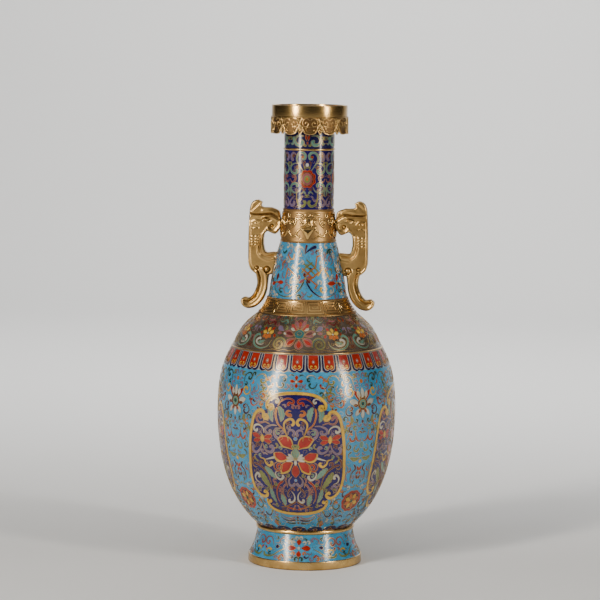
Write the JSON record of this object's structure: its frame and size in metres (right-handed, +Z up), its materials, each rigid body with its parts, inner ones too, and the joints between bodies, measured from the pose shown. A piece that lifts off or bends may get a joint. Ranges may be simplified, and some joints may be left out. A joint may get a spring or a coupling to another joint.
{
  "type": "cloisonne vase",
  "caption": "Tall bottle vase in enamelled copper with a dish mouth, bell-shaped lower neck, oval body, flared foot and gilt bronze scroll handles.",
  "frame": {"origin": "centre of the foot rim, on the surface the vase stands on", "axes": "+Z up along the vase's axis, -Y towards the front cartouche, the handles on +X and -X"},
  "size_m": [0.1166, 0.1166, 0.3],
  "materials": {
    "gilt_bronze": "satin gilding, chased",
    "copper": "bare, dull",
    "turquoise_enamel": "ground and polished opaque enamel",
    "cobalt_enamel": "ground and polished opaque enamel",
    "yellow_enamel": "ground and polished opaque enamel",
    "red_enamel": "ground and polished opaque enamel",
    "shoulder_enamel": "ground and polished opaque enamel"
  },
  "bodies": {
    "root": {"foot_rim": "gilt_bronze", "base_plate": "gilt_bronze", "foot_fillet": "gilt_bronze", "shoulder_ring": "gilt_bronze", "key_fret_collar": "gilt_bronze", "chased_band": "gilt_bronze", "neck_ring": "gilt_bronze", "mouth_cup": "gilt_bronze", "ruyi_skirt": "gilt_bronze", "handle_left": "gilt_bronze", "handle_right": "gilt_bronze", "foot_core": "copper", "body_core": "copper", "lower_neck_core": "copper", "neck_core": "copper", "handle_pins": "copper", "foot_enamel": "turquoise_enamel", "body_enamel": "turquoise_enamel", "lower_neck_enamel": "turquoise_enamel", "panel_front": "cobalt_enamel", "panel_right": "cobalt_enamel", "panel_back": "cobalt_enamel", "panel_left": "cobalt_enamel", "neck_enamel": "cobalt_enamel", "upper_neck_enamel": "cobalt_enamel", "panel_frame_front": "yellow_enamel", "panel_frame_right": "yellow_enamel", "panel_frame_back": "yellow_enamel", "panel_frame_left": "yellow_enamel", "lappet_band": "red_enamel", "shoulder_enamel": "shoulder_enamel"}
  },
  "joints": []
}
